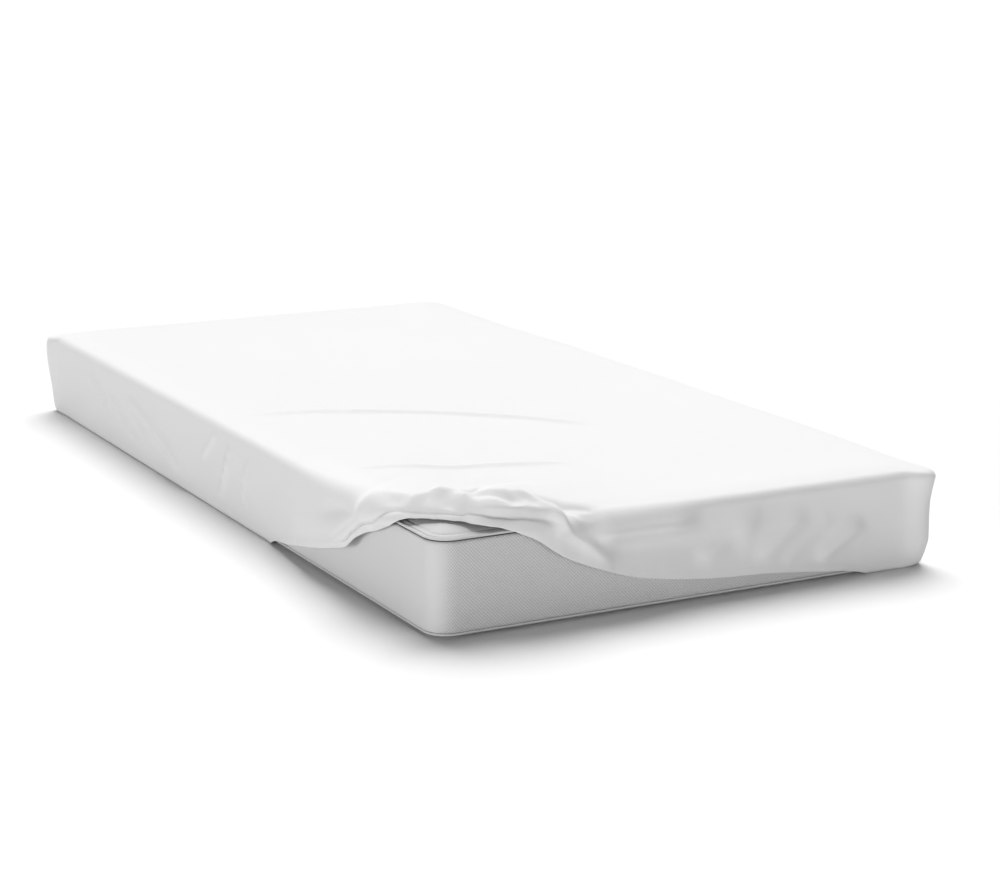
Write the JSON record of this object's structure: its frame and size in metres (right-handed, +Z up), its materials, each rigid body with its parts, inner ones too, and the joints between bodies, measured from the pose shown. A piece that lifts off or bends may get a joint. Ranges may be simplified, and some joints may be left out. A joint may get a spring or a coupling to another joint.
{
  "type": "fitted sheet on a mattress",
  "caption": "White fitted sheet pulled over a single mattress, its elastic hem lifted and bunched above one corner so that the mattress shows, the other three corners fitted",
  "frame": {"origin": "middle of the mattress's flat underside", "axes": "+X across the mattress, +Y along it away from the lifted corner's end, +Z up; the lifted corner is at -X, -Y"},
  "size_m": [1.0527, 2.0465, 0.2379],
  "materials": {
    "sheet_cloth": "matte",
    "mattress_cover": "matte knit",
    "mattress_piping": "matte"
  },
  "bodies": {
    "root": {"fitted_sheet": "sheet_cloth", "mattress": "mattress_cover", "piping_top": "mattress_piping", "piping_bottom": "mattress_piping"}
  },
  "joints": []
}
